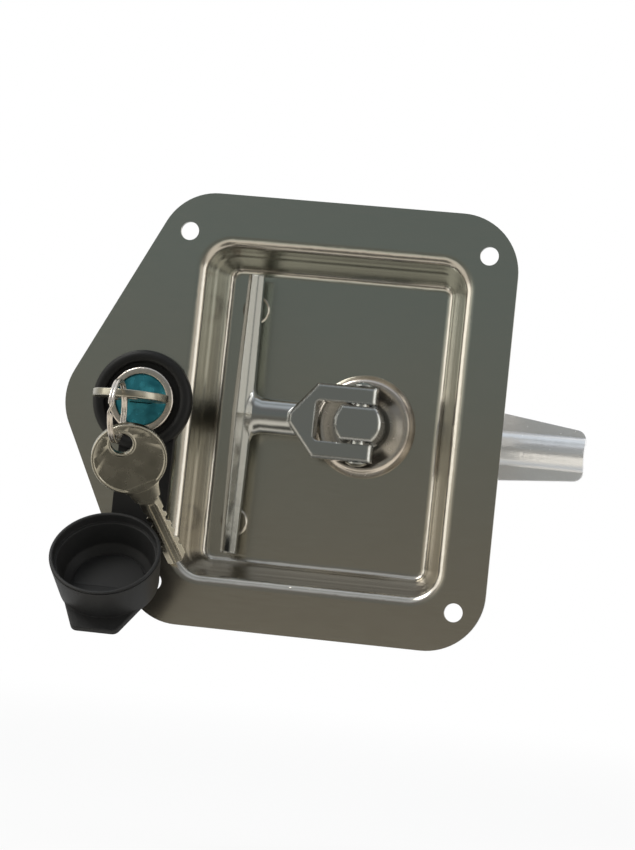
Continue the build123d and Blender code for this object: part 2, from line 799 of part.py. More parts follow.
def make_key(name, bow_plane):
    """A flat key on bow_plane: local x runs from the middle of the bow to the tip."""
    lower = bow_plane.offset(-key_thickness / 2)
    with BuildPart() as key:
        with BuildSketch(lower):
            Circle(bow_radius)
            with BuildLine():
                Polyline(
                    (0, key_neck_half_width), (key_neck_end, key_neck_half_width),
                    (key_shoulder, key_shoulder_half_width), (key_shoulder, -key_shoulder_half_width),
                    (key_neck_end, -key_neck_half_width), (0, -key_neck_half_width), close=True,
                )
            make_face()
            with BuildLine():
                Polyline(
                    (0, blade_half_width), (key_length - key_point, blade_half_width),
                    (key_length, blade_half_width - key_point),
                    (key_length, key_tip_corner - blade_half_width),
                    (key_length - key_tip_corner, -blade_half_width), (0, -blade_half_width), close=True,
                )
            make_face()
        extrude(amount=key_thickness)
        with BuildSketch(bow_plane.offset(-key_thickness / 2 - key_bead)):
            Circle(bow_radius)
            Circle(bow_radius - key_bead_width, mode=Mode.SUBTRACT)
            with Locations((-hole_from_bow, 0)):
                Circle(key_hole_radius + key_bead_width)
        extrude(amount=key_thickness + 2 * key_bead)
        with BuildSketch(bow_plane.offset(-key_thickness)):
            with Locations((-hole_from_bow, 0)):
                Circle(key_hole_radius)
            for count, depth in enumerate(notch_depths):
                at = notch_first + count * notch_pitch
                for edge, cut in ((1, depth), (-1, notch_depths[-1 - count])):
                    with Locations((at, edge * blade_half_width)):
                        Rectangle(2 * notch_half_width, 2 * cut)
        extrude(amount=2 * key_thickness, mode=Mode.SUBTRACT)
        for offset_out in (key_thickness / 2 - key_groove_depth, -key_thickness / 2):
            with BuildSketch(bow_plane.offset(offset_out)):
                with Locations(((key_groove_start + key_length) / 2, 0)):
                    Rectangle(key_length - key_groove_start, key_groove_width)
            extrude(amount=key_groove_depth, mode=Mode.SUBTRACT)
    save(key, name)


make_key("key_in_lock", Plane(origin=(lock_x, bow_y, lock_z), x_dir=(0, 1, 0), z_dir=(0, 0, 1)))
make_key("key_hanging", Plane(origin=hanging_bow, x_dir=key_down, z_dir=key_down.cross(key_across)))

with BuildPart() as split_ring:
    ring_plane = Plane(origin=ring_centre, x_dir=(0, 1, 0), z_dir=Vector(0, 1, 0).cross(ring_down))
    with BuildSketch(ring_plane.offset(-ring_width / 2)):
        Circle(ring_radius + ring_wire / 2)
        Circle(ring_radius - ring_wire / 2, mode=Mode.SUBTRACT)
    extrude(amount=ring_width)
save(split_ring, "split_ring")

# Rubber ring round the bezel, with a raised round lip
with BuildPart() as seal:
    with BuildSketch(turned_at(lock_x, lock_z)):
        with BuildLine():
            top = face - seal_height
            crown = (seal_groove_radius + seal_radius) / 2
            reach = (seal_radius - seal_groove_radius) / 2
            Polyline((seal_groove_radius, top + reach), (seal_groove_radius, face - seal_web),
                     (body_radius + body_hole_gap, face - seal_web), (body_radius + body_hole_gap, face),
                     (seal_radius, face), (seal_radius, top + reach))
            ThreePointArc((seal_radius, top + reach), (crown, top), (seal_groove_radius, top + reach))
        make_face()
    revolve(axis=axis_at(lock_x, lock_z))
save(seal, "rubber_ring")

# Strap from the ring down the flange to the hinge of the cap
hinge_y = face - strap_thickness / 2
with BuildPart() as strap:
    with BuildSketch(at_depth(face - strap_thickness)):
        with Locations((strap_x, (lock_z + hinge_z) / 2)):
            Rectangle(2 * strap_half_width, lock_z - hinge_z)
        with Locations((lock_x, lock_z)):
            Circle(seal_radius, mode=Mode.SUBTRACT)
    extrude(amount=-strap_thickness)
    fillet(strap.edges().filter_by(Axis.X).group_by(Axis.Z)[0], radius=0.99 * strap_thickness / 2)
save(strap, "cap_strap")

# Dust cap, stored hanging open; local z points out of its mouth and local y to its hinge
opened = radians(cap_open_angle)
mouth_out = Vector(0, cos(opened), sin(opened))
to_hinge = mouth_out.cross(Vector(1, 0, 0))
hinge_reach = strap_thickness / 2 + hinge_gap
end_edge = Vector(cap_x, hinge_y, hinge_z) - to_hinge * hinge_reach - mouth_out * hinge_reach * hinge_share
cap_mouth = end_edge - to_hinge * cap_end_radius + mouth_out * cap_depth
cap_plane = Plane(origin=cap_mouth, x_dir=(1, 0, 0), z_dir=mouth_out)
with BuildPart() as cap:
    with BuildSketch(cap_plane.offset(-cap_depth)) as tab:
        with BuildLine():
            Polyline((tab_inset - cap_end_radius, -tab_start), (cap_end_radius - tab_inset, -tab_start),
                     (tab_half_width, -tab_end), (-tab_half_width, -tab_end), close=True)
        make_face()
        fillet(tab.vertices().group_by(Axis.Y)[0], radius=tab_corner)
    extrude(amount=tab_thickness)
    cup_profile = Plane(origin=cap_mouth, x_dir=(1, 0, 0), z_dir=Vector(1, 0, 0).cross(mouth_out))
    with BuildSketch(cup_profile):
        with BuildLine():
            Polyline((0, 0), (cap_mouth_radius, 0), (cap_mouth_radius, -cap_rim),
                     (cap_end_radius, -cap_depth), (0, -cap_depth), close=True)
        make_face()
    revolve(axis=Axis(cap_mouth, mouth_out))
    with BuildSketch(cup_profile):
        with BuildLine():
            lip = cap_mouth_radius - cap_lip_inset
            Polyline((0, 1), (lip, 1), (lip, -cap_lip_depth), (lip - cap_lip_step, -cap_lip_depth),
                     (cap_end_radius - cap_wall, cap_floor_thickness + cap_floor_bevel - cap_depth),
                     (cap_inner_floor, cap_floor_thickness - cap_depth),
                     (0, cap_floor_thickness - cap_depth), close=True)
        make_face()
    revolve(axis=Axis(cap_mouth, mouth_out), mode=Mode.SUBTRACT)
save(cap, "dust_cap")
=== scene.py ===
# %% [markdown]
# A flush T-handle latch: a stainless pan pressed from one sheet, a chromed handle that folds
# into it, a key cylinder beside it and a rubber dust cap. The solids come from the CAD pack
# and stay as they are where their shape is right. This lesson gives them their finishes,
# and builds new surfaces where the real piece has rounder or finer forms: the split ring,
# the keys, the dust cap, the threads of the key cylinder and the rosette.

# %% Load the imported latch
import math

import bmesh
import bpy
import numpy as np
from mathutils import Matrix, Vector


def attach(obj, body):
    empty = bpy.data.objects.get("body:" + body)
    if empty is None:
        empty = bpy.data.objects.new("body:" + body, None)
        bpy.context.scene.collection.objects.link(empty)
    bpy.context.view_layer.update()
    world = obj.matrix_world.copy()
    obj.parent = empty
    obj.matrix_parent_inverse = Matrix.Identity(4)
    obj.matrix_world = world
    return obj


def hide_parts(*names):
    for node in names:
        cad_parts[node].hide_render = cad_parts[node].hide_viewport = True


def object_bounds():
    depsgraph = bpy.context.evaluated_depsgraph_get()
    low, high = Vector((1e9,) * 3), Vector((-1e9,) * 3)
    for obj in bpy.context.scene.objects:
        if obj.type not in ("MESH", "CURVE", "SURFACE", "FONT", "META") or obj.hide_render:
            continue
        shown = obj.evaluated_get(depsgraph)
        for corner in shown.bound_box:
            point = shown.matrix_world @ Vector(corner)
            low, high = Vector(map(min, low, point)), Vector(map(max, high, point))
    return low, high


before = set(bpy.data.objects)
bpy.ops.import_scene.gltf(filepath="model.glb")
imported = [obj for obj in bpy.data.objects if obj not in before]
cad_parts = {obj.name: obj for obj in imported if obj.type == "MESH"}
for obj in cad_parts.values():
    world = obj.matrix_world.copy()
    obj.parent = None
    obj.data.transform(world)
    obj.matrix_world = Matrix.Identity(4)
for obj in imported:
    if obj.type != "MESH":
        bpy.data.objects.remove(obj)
cad_low, cad_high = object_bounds()
scene = bpy.context.scene
mm = 0.001

# %% [markdown]
# The camera repeats the photograph's. Its distance, angles and focal length were fitted
# to the four screw holes and the pan's corners. The photograph is rolled by six degrees,
# so the camera's axes are written out instead of being aimed at a target.

# %% Camera
azimuth, elevation, roll = math.radians(9.44), math.radians(-3.35), math.radians(5.98)
focal_pixels, picture_height, sensor_height = 3001.67, 850, 36.0
distance = 1028.21 * mm
target = Vector((-0.68, -1.5, -1.94)) * mm
back = Vector((math.sin(azimuth) * math.cos(elevation), -math.cos(azimuth) * math.cos(elevation),
               math.sin(elevation)))
level = Vector((math.cos(azimuth), math.sin(azimuth), 0))
upright = back.cross(level)
right = level * math.cos(roll) + upright * math.sin(roll)
upward = upright * math.cos(roll) - level * math.sin(roll)
camera_data = bpy.data.cameras.new("camera")
camera_data.sensor_fit = "VERTICAL"
camera_data.sensor_height = sensor_height
camera_data.lens = sensor_height * focal_pixels / picture_height
camera_data.clip_start = 0.05
camera_data.clip_end = 50
camera = bpy.data.objects.new("camera", camera_data)
turned_axes = Matrix((right, upward, back)).transposed().to_4x4()
camera.matrix_world = Matrix.Translation(target + back * distance) @ turned_axes
scene.collection.objects.link(camera)
scene.camera = camera
print("lens", round(camera_data.lens, 1), "mm")

# %% [markdown]
# A finish is a small network of nodes. To read like arithmetic, a socket is wrapped in a
# class whose operators add Math nodes, so that 1 - mask or noise * 0.2 works.

# %% Shader arithmetic


class Wire:
    """One output socket. Python's operators on it add Math nodes and give a new Wire."""

    def __init__(self, board, socket):
        self.board = board
        self.socket = socket

    def math(self, operation, first, second):
        return self.board.node("ShaderNodeMath", {"operation": operation}, {0: first, 1: second})

    def __add__(self, other):
        return self.math("ADD", self, other)

    def __sub__(self, other):
        return self.math("SUBTRACT", self, other)

    def __rsub__(self, other):
        return self.math("SUBTRACT", other, self)

    def __mul__(self, other):
        return self.math("MULTIPLY", self, other)

    __radd__ = __add__
    __rmul__ = __mul__


# %% [markdown]
# Every other kind of node comes from one method, which takes the node's type, its settings
# and its sockets. The shorter methods below it are patterns and masks that several finishes
# share: noise for grain and clouds, a fade for masks, the distance from an axis for turned
# parts, and relief. A Bevel node rounds the shading of the solids' sharp edges.

# %% Node board


class Board:
    """The node tree of a material or a world."""

    def __init__(self, owner):
        owner.use_nodes = True
        self.tree = owner.node_tree
        self.tree.nodes.clear()

    def node(self, kind, settings=None, sockets=None, output=0):
        """Add a node, set its settings, fill its sockets and return one output as a Wire."""
        made = self.tree.nodes.new(kind)
        for key, value in (settings or {}).items():
            if key == "stops":
                ramp = made.color_ramp
                for index, (place, shade) in enumerate(value):
                    stop = ramp.elements[index] if index < 2 else ramp.elements.new(place)
                    stop.position = place
                    stop.color = (*shade, 1)
            else:
                setattr(made, key, value)
        for key, value in (sockets or {}).items():
            if isinstance(value, Wire):
                self.tree.links.new(value.socket, made.inputs[key])
            else:
                made.inputs[key].default_value = value
        return Wire(self, made.outputs[output]) if len(made.outputs) else None

    def coordinate(self, axis, kind="Object"):
        """X, Y or Z of one of the Texture Coordinate node's outputs."""
        place = self.node("ShaderNodeTexCoord", None, None, kind)
        return self.node("ShaderNodeSeparateXYZ", None, {0: place}, axis)

    def ray(self, kind):
        """1 for Camera, Glossy or Transmission rays, and 0 for all others."""
        return self.node("ShaderNodeLightPath", None, None, f"Is {kind} Ray")

    def from_axis(self, x, z):
        """Distance from the line along Y through x and z, which are in mm: sqrt(dx ** 2 + dz ** 2)."""
        place = self.node("ShaderNodeTexCoord", None, None, "Object")
        centred = self.node("ShaderNodeMapping", None,
                            {"Vector": place, "Location": (-x * mm, 0, -z * mm), "Scale": (1, 0, 1)})
        return self.node("ShaderNodeVectorMath", {"operation": "LENGTH"}, {0: centred}, "Value")

    def mix(self, share, first, second):
        """Blend two colours by a share from 0 to 1."""
        return self.node("ShaderNodeMix", {"data_type": "RGBA"}, {"Factor": share, 6: first, 7: second}, 2)

    def fade(self, value, start, end, kind="SMOOTHSTEP"):
        """0 where the value is at start, 1 where it is at end, clamped beyond them."""
        return self.node("ShaderNodeMapRange", {"interpolation_type": kind},
                         {"Value": value, "From Min": start, "From Max": end})

    def noise(self, scale, detail=3.0, stretch=(1, 1, 1)):
        """Noise from 0 to 1 on Object coordinates, scale waves per metre, stretched along an axis."""
        place = self.node("ShaderNodeTexCoord", None, None, "Object")
        placed = self.node("ShaderNodeMapping", None, {"Vector": place, "Scale": stretch})
        return self.node("ShaderNodeTexNoise", None, {"Vector": placed, "Scale": scale, "Detail": detail})

    def bump(self, height, strength, depth, normal=None):
        """A relief as deep as depth, in metres, from a height of 0 to 1, over another normal."""
        sockets = {"Height": height, "Strength": strength, "Distance": depth}
        if normal is not None:
            sockets["Normal"] = normal
        return self.node("ShaderNodeBump", None, sockets)

    def soft_edge(self, radius):
        """Shading that rounds sharp edges by a radius."""
        return self.node("ShaderNodeBevel", {"samples": 4}, {"Radius": radius})

    def edge_wear_and_sheen(self, radius):
        """0 on flat places and 1 near edges: how far the rounded normal leans from the plain one,
        from the cosine of 6 degrees to that of 26."""
        facing = self.node("ShaderNodeNewGeometry", None, None, "Normal")
        same = self.node("ShaderNodeVectorMath", {"operation": "DOT_PRODUCT"},
                         {0: self.soft_edge(radius), 1: facing}, "Value")
        return self.fade(same, 0.995, 0.90, "LINEAR")


# %% [markdown]
# A finish is a function that gets a board and returns the sockets of one Principled shader.
# A CAD node takes it in its material slot, and nothing else about the node changes.

# %% Finish and paint


def finish(name, build):
    """Make a material: build gets its board and returns the sockets of one Principled shader."""
    material = bpy.data.materials.new(name)
    board = Board(material)
    shader = board.node("ShaderNodeBsdfPrincipled", None, build(board))
    board.node("ShaderNodeOutputMaterial", None, {"Surface": shader})
    return material


def colour(red, green, blue):
    """A colour with its alpha."""
    return (red, green, blue, 1.0)


def paint(material, *nodes):
    """Give CAD nodes a material."""
    for node in nodes:
        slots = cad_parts[node].data.materials
        slots.clear()
        slots.append(material)
    print(material.name, "on", len(nodes), "nodes")


# %% [markdown]
# The room is a white studio. Camera rays see plain white. The metal sees the same white
# behind the latch, a dark wall in front of it, and bright walls at the sides and above. Flat
# faces turned to the camera mirror the dark wall and look deep grey, and every bend and bevel
# that turns away from it catches a pale line. Dark strips on the side walls and below the
# ceiling break the wide bends into several lines.

# %% World
world = bpy.data.worlds.new("studio")
scene.world = world
scene.view_settings.view_transform = "Standard"
board = Board(world)
along_y = board.coordinate("Y", "Generated")
along_z = board.coordinate("Z", "Generated")
front_greys = ((0.0, 1.0), (0.03, 1.0), (0.11, 0.0), (0.20, 0.0), (0.26, 0.75), (0.33, 0.75), (0.39, 0.0),
               (0.55, 0.1), (0.63, 0.6), (1.0, 0.6))
front_stops = [(place, (grey, grey, grey)) for place, grey in front_greys]
front = board.node("ShaderNodeValToRGB", {"stops": front_stops}, {"Fac": along_y * 0.5 + 0.5})
side_walls = board.node("ShaderNodeValToRGB", {"stops": (
    (0.0, (0.22, 0.21, 0.19)), (0.28, (0.30, 0.28, 0.25)), (0.40, (0.74, 0.69, 0.60)),
    (0.52, (0.80, 0.76, 0.66)), (0.64, (0.76, 0.73, 0.66)), (0.70, (0.20, 0.19, 0.18)),
    (0.77, (0.24, 0.23, 0.23)), (0.87, (0.62, 0.66, 0.70)), (1.0, (0.74, 0.80, 0.86)))},
    {"Fac": along_z * 0.5 + 0.5})
front_wall = board.node("ShaderNodeValToRGB", {"stops": (
    (0.0, (0.60, 0.56, 0.48)), (0.34, (0.46, 0.43, 0.37)), (0.47, (0.22, 0.205, 0.175)),
    (0.56, (0.20, 0.215, 0.205)), (0.66, (0.18, 0.19, 0.19)), (0.92, (0.20, 0.21, 0.21)),
    (0.98, (0.42, 0.45, 0.48)), (1.0, (0.50, 0.54, 0.58)))},
    {"Fac": along_z * 0.5 + 0.5})
room = board.mix(front, side_walls, front_wall)
lit = board.node("ShaderNodeBackground", None, {"Color": room, "Strength": 1.0})
white = board.node("ShaderNodeBackground", None, {"Color": colour(1, 1, 1), "Strength": 1.0})
behind = board.fade(along_y, 0.1, 0.5)
share = board.node("ShaderNodeMath", {"operation": "ADD", "use_clamp": True},
                   {0: board.ray("Camera"), 1: (board.ray("Glossy") + board.ray("Transmission")) * behind})
backdrop = board.node("ShaderNodeMixShader", None, {0: share, 1: lit, 2: white})
board.node("ShaderNodeOutputWorld", None, {"Surface": backdrop})
print("world:", len(world.node_tree.nodes), "nodes")

# %% [markdown]
# The floor is pale and keeps a soft shadow, and fades to the white of the world far away. In
# front of the latch the metal sees a cream sheet of paper on it, which lights the lower bends
# and the handle, with a small dark card where the hanging key would mirror that sheet. The
# sheet's ramp runs from two metres in front of the latch to right below it.

# %% Floor
floor_gap, floor_reach = 0.07, 3
floor_z = cad_low.z - floor_gap
floor_mesh = bpy.data.meshes.new("floor")
floor_mesh.from_pydata([(x * floor_reach, y * floor_reach, floor_z)
                        for x, y in ((-1, -1), (1, -1), (1, 1), (-1, 1))], [], [(0, 1, 2, 3)])
floor = bpy.data.objects.new("floor", floor_mesh)
scene.collection.objects.link(floor)
floor_paint = bpy.data.materials.new("pale_floor")
board = Board(floor_paint)
place = board.node("ShaderNodeTexCoord", None, None, "Object")
away = board.node("ShaderNodeVectorMath", {"operation": "LENGTH"}, {0: place}, "Value")
far = board.node("ShaderNodeMapRange", {"interpolation_type": "SMOOTHSTEP"},
                 {"Value": away, "From Min": 0.25, "From Max": 1.6, "To Min": 0.9, "To Max": 1.0})
plain = board.node("ShaderNodeBsdfDiffuse", None, {"Color": colour(0.86, 0.86, 0.86)})
glow = board.node("ShaderNodeEmission", None, {"Color": colour(1, 1, 1), "Strength": 1.0})
depth = board.coordinate("Y")
sheet = board.node("ShaderNodeValToRGB", {"stops": (
    (0.0, (0.17, 0.16, 0.14)), (0.70, (0.19, 0.18, 0.155)), (0.85, (0.95, 0.89, 0.78)),
    (0.97, (0.95, 0.89, 0.78)), (1.0, (0.60, 0.57, 0.52)))}, {"Fac": depth * 0.5 + 1.0})
card_centre, card_radius, card_fade = (-0.019, -0.126, floor_z), 0.052, 0.080
from_card = board.node("ShaderNodeVectorMath", {"operation": "DISTANCE"}, {0: place, 1: card_centre}, "Value")
card = board.fade(from_card, card_fade, card_radius)
paper = board.mix(card, sheet, colour(0.12, 0.115, 0.10))
paper_light = board.node("ShaderNodeEmission", None, {"Color": paper, "Strength": 1.0})
in_front = board.fade(depth, 0.04, -0.02, "LINEAR")
mixed = board.node("ShaderNodeMixShader", None, {0: board.ray("Camera") * far, 1: plain, 2: glow})
mixed = board.node("ShaderNodeMixShader", None, {0: board.ray("Glossy") * in_front, 1: mixed, 2: paper_light})
board.node("ShaderNodeOutputMaterial", None, {"Surface": mixed})
floor_mesh.materials.append(floor_paint)
print("floor at", round(floor_z, 4))

# %% [markdown]
# Four soft boxes shine at the latch: the main one high on the left, two tall ones at the
# sides, and a weak one below that lifts the dark rubber.

# %% Lamps


def lamp(name, place, size, power, tint=(1, 1, 1)):
    """An area lamp at place, turned to shine at the middle of the latch."""
    data = bpy.data.lights.new(name, "AREA")
    data.shape = "RECTANGLE"
    data.size, data.size_y = size
    data.energy = power
    data.color = tint
    made = bpy.data.objects.new(name, data)
    made.location = place
    made.rotation_euler = Vector(place).to_track_quat("Z", "Y").to_euler()
    scene.collection.objects.link(made)
    print(name, power, "W")


lamp("top_box", (-0.6, -0.35, 0.8), (0.4, 0.4), 4.0, (1.0, 0.98, 0.94))
lamp("left_box", (-0.9, -0.35, 0.25), (0.5, 1.0), 2.4, (1.0, 0.97, 0.90))
lamp("right_box", (0.9, -0.30, 0.15), (0.5, 1.0), 2.0, (1.0, 0.98, 0.95))
lamp("low_box", (0.05, -0.5, -0.55), (0.5, 0.2), 0.6)

# %% [markdown]
# The pan is satin stainless sheet. Rolling leaves a fine grain along one direction, so the
# noise is stretched along X and moves both the colour and the roughness a little. A painted
# reflection tints the faces turned to the camera warmer towards the lower edge and cooler
# above, and the walls keep one warm grey. The press drew the walls over its die, which left
# lines round them: a noise that reads the depth alone, so it is flat on the flange and floor.

# %% Stainless sheet


def satin_sheet(board):
    grain = board.noise(1500, 3, (0.08, 1, 1))
    cloud = board.noise(16, 2)
    flat = board.fade(board.coordinate("Y", "Normal"), -0.90, -0.99, "LINEAR")
    # Painted reflection: warm below and cool above on the faces turned to the camera.
    upper = board.fade(board.coordinate("Z") + cloud * 0.06, -0.03, 0.09)
    tinted = board.mix(upper, colour(0.49, 0.445, 0.37), colour(0.45, 0.50, 0.465))
    tinted = board.mix(flat, colour(0.51, 0.48, 0.435), tinted)
    shade = board.mix(grain * 0.4, tinted, colour(0.56, 0.55, 0.50))
    drawn = board.node("ShaderNodeTexNoise", {"noise_dimensions": "1D"},
                       {"W": board.coordinate("Y"), "Scale": 190.0, "Detail": 1.0})
    return {"Base Color": shade, "Metallic": 1.0, "Roughness": grain * 0.05 + 0.195,
            "Normal": board.bump(grain, 0.04, 0.0002, board.bump(drawn, 0.5, 0.0008))}


stainless = finish("satin_stainless", satin_sheet)
paint(stainless, "pan", "rivets")

# %% [markdown]
# Chrome plate is almost a mirror, with a faint ripple. Its sharp CAD edges get a rounded
# shading, because plating always leaves a bright line along an edge. The grip of the handle
# isn't quite flat: a strip along its left edge leans, which a steady rise of the relief over
# that strip gives.

# %% Chrome
grip_left, lean_width, lean_slope = -30.3 * mm, 5.5 * mm, 0.34


def plated(board, normal):
    """Chrome over a given normal."""
    ripple = board.noise(260, 2)
    return {"Base Color": colour(0.50, 0.51, 0.50), "Metallic": 1.0, "Roughness": ripple * 0.06 + 0.10,
            "Normal": board.bump(ripple, 0.05, 0.0004, normal)}


def bright_chrome(board):
    return plated(board, board.soft_edge(1.0 * mm))


def crowned_chrome(board):
    """Chrome whose height rises by lean_slope times the way along X, from grip_left over lean_width."""
    rise = board.node("ShaderNodeClamp", None,
                      {0: board.coordinate("X") - grip_left, "Min": 0.0, "Max": lean_width})
    return plated(board, board.bump(rise * lean_slope, 1.0, 1.0, board.soft_edge(1.0 * mm)))


paint(finish("bright_chrome", bright_chrome), "shaft", "cross_pin")
paint(finish("crowned_chrome", crowned_chrome), "t_handle")

# %% [markdown]
# The rosette, the bezel and the split ring have a warmer, softer plate. Between the rosette's
# dish and the shaft a ring of painted shade stands for the shadow in the gap round the shaft's
# head: a fade over the distance from the shaft's axis darkens the colour there.

# %% Satin nickel
shaft_x = 12.7
painted_shade_radius, shade_end_radius = 8.8 * mm, 9.7 * mm


def satin_nickel(board):
    haze = board.noise(500)
    # Painted shade: the colour goes dark close round the shaft's axis.
    unshaded = board.fade(board.from_axis(shaft_x, 0), painted_shade_radius, shade_end_radius)
    shade = board.mix(haze, colour(0.62, 0.57, 0.52), colour(0.74, 0.69, 0.63))
    shade = board.mix(unshaded, colour(0.20, 0.19, 0.17), shade)
    return {"Base Color": shade, "Metallic": 1.0, "Roughness": haze * 0.08 + 0.22,
            "Normal": board.bump(haze, 0.05, 0.0002, board.soft_edge(0.4 * mm))}


satin_metal = finish("satin_nickel", satin_nickel)
print("made", satin_metal.name)

# %% [markdown]
# The parts behind the pan are zinc plated: pale, a little blue and finely mottled, with the
# dull gloss of cheap plating. The latch arm, which shows beside the flange, is brighter and
# has coarser specks.

# %% Zinc plate


def zinc_plate(board):
    speck = board.noise(1400)
    shade = board.mix(board.noise(60, 2), colour(0.74, 0.78, 0.84), colour(0.86, 0.89, 0.94))
    return {"Base Color": shade, "Metallic": 1.0, "Roughness": speck * 0.20 + 0.28,
            "Normal": board.bump(speck, 0.12, 0.0002, board.soft_edge(0.3 * mm))}


def bright_zinc(board):
    speck = board.noise(900, 4)
    shade = board.mix(board.noise(60, 2), colour(0.92, 0.93, 0.95), colour(0.98, 0.98, 0.98))
    return {"Base Color": shade, "Metallic": 0.62, "Roughness": speck * 0.24 + 0.10,
            "Normal": board.bump(speck, 0.2, 0.0004, board.soft_edge(0.3 * mm))}


paint(finish("zinc_plate", zinc_plate), "bushing_nut", "rear_bracket", "stop_pin", "cylinder_washer",
      "cylinder_nut", "thrust_washer", "locking_plate", "shaft_sleeve", "arm_washer", "arm_nut", "cam",
      "cam_washer", "cam_screw")
paint(finish("bright_zinc", bright_zinc), "latch_arm")

# %% [markdown]
# The keys are nickel on brass, darkened by handling. Their edges are lighter: partly wear,
# partly a painted highlight where the beads catch the light. The wafers inside the plug are bare brass.

# %% Nickel and brass


def nickel_plate(board):
    speck = board.noise(1100)
    wear = board.noise(180)
    shade = board.mix(wear, colour(0.31, 0.295, 0.24), colour(0.44, 0.42, 0.36))
    # Lighter edges: partly wear, partly a painted highlight along the beads.
    shade = board.mix(board.edge_wear_and_sheen(0.5 * mm), shade, colour(0.82, 0.77, 0.66))
    return {"Base Color": shade, "Metallic": 1.0, "Roughness": wear * 0.14 + 0.20,
            "Normal": board.bump(speck, 0.10, 0.0002)}


def plain_brass(board):
    speck = board.noise(900, 2)
    return {"Base Color": colour(0.62, 0.46, 0.20), "Metallic": 1.0, "Roughness": speck * 0.1 + 0.3}


key_nickel = finish("nickel_plate", nickel_plate)
paint(finish("plain_brass", plain_brass), "wafers")

# %% [markdown]
# The plug is a zinc casting whose face was turned on a lathe. The turning marks are rings
# round the cylinder's axis, so the pattern reads the distance from that axis.

# %% Turned face of the plug
lock_x, lock_z = -62.3, 0.8


def turned_face(board):
    rings = board.node("ShaderNodeTexNoise", {"noise_dimensions": "1D"},
                       {"W": board.from_axis(lock_x, lock_z), "Scale": 4000.0})
    blotch = board.fade(board.noise(260, 6), 0.30, 0.70, "LINEAR")
    shade = board.mix(rings * 0.3 + blotch * 0.7, colour(0.006, 0.11, 0.15), colour(0.07, 0.42, 0.52))
    return {"Base Color": shade, "Metallic": 0.6, "Roughness": blotch * 0.12 + 0.20,
            "Normal": board.bump(rings, 0.15, 0.0002)}


paint(finish("turned_zinc", turned_face), "plug")

# %% [markdown]
# The rubber is a dense black moulding with a satin skin: nearly black, a little rough, with
# a faint cloudy bloom and a very fine grain. The cap gets a paler copy of it, painted light for
# the light that falls into its cup and onto its tab.

# %% Black rubber


def black_rubber(board, dark=0.009, pale=0.016):
    grain = board.noise(2200)
    bloom = board.noise(70)
    shade = board.mix(bloom, colour(dark, dark, dark), colour(pale, pale, pale))
    return {"Base Color": shade, "Specular IOR Level": 0.22, "Roughness": bloom * 0.12 + 0.42,
            "Normal": board.bump(grain, 0.15, 0.0002, board.soft_edge(0.4 * mm))}


paint(finish("black_rubber", black_rubber), "rubber_ring", "cap_strap")
# The cap's paler copy is painted light, not a different rubber.
cap_rubber = finish("painted_pale_rubber", lambda board: black_rubber(board, 0.018, 0.030))

# %% [markdown]
# New pieces are grids: a shape is a function of two parameters, worked out for all the
# points at once as an array of rows and columns, and joined into quads. Columns always go
# once round, so they close on themselves. Rows close too where the piece is a ring, and
# otherwise the first and last rows shrink to a point. Welding then merges those points.
# Edges that bend by more than 40 degrees stay crisp, and everything else is smooth.

# %% Grids to one welded piece
weld_distance, crisp_angle = 1e-7, math.radians(40)


def surface(name, grids, material, body, node):
    """Join grids, given as (points in mm, is a ring), into one piece on a body, in place of a node."""
    points, quads, count = [], [], 0
    for grid, ring in grids:
        rows, columns = grid.shape[:2]
        index = np.arange(rows * columns).reshape(rows, columns) + count
        low = index if ring else index[:-1]
        high = np.roll(index, -1, axis=0) if ring else index[1:]
        quads.append(np.stack((low, np.roll(low, -1, 1), np.roll(high, -1, 1), high), -1).reshape(-1, 4))
        points.append(grid.reshape(-1, 3) * mm)
        count += rows * columns
    mesh = bpy.data.meshes.new(name)
    mesh.from_pydata(np.concatenate(points).tolist(), [], np.concatenate(quads).tolist())
    work = bmesh.new()
    work.from_mesh(mesh)
    bmesh.ops.remove_doubles(work, verts=work.verts, dist=weld_distance)
    bmesh.ops.recalc_face_normals(work, faces=work.faces)
    work.to_mesh(mesh)
    work.free()
    mesh.shade_smooth()
    mesh.set_sharp_from_angle(angle=crisp_angle)
    mesh.materials.append(material)
    piece = bpy.data.objects.new(name, mesh)
    scene.collection.objects.link(piece)
    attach(piece, body)
    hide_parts(node)
    print(name, len(mesh.vertices), "points")


# %% [markdown]
# Most of these pieces start as a profile, a list of corners with a radius each. Rounding
# cuts each corner with a curve. A turned piece then carries the profile round an axis.

# %% Profiles


def rounded(corners, steps=7):
    """Round a profile of (x, y, radius) corners: each corner becomes a parabola that leaves its
    two sides a radius away. A radius of 0 keeps the corner."""
    table = np.array(corners, float)
    place, radius = table[:, :2], table[:, 2:]
    before = np.roll(place, 1, axis=0) - place
    after = np.roll(place, -1, axis=0) - place
    start = place + before / np.linalg.norm(before, axis=1, keepdims=True) * radius
    end = place + after / np.linalg.norm(after, axis=1, keepdims=True) * radius
    share = np.linspace(0, 1, steps)[None, :, None]
    curve = (1 - share) ** 2 * start[:, None] + 2 * share * (1 - share) * place[:, None]
    return (curve + share ** 2 * end[:, None]).reshape(-1, 2)


def turned(profile, centre, axis, columns):
    """Carry (radius, height) points round an axis, starting on X: centre + height * axis +
    radius * (cos(angle) * X + sin(angle) * axis cross X)."""
    angle = np.linspace(0, 2 * np.pi, columns, endpoint=False)[:, None]
    start = np.array((1, 0, 0))
    spoke = np.cos(angle) * start + np.sin(angle) * np.cross(axis, start)
    return np.array(centre) + profile[:, None, 1:] * np.array(axis) + profile[:, None, :1] * spoke


def capped(grid):
    """Add a row at each end that is the middle point of its neighbour, to close the piece."""
    first = np.broadcast_to(grid[:1].mean(axis=1, keepdims=True), grid[:1].shape)
    last = np.broadcast_to(grid[-1:].mean(axis=1, keepdims=True), grid[-1:].shape)
    return np.concatenate((first, grid, last))


# %% [markdown]
# A split ring is two turns of flattened spring wire. A curve with a bevel could make it, but
# its section may twist on the way, so here each point is placed on the path by a formula. The
# path goes round twice, and in a short stretch half way it steps sideways by one wire width,
# between the two cut ends. The section is a superellipse: a flat strip with round edges.

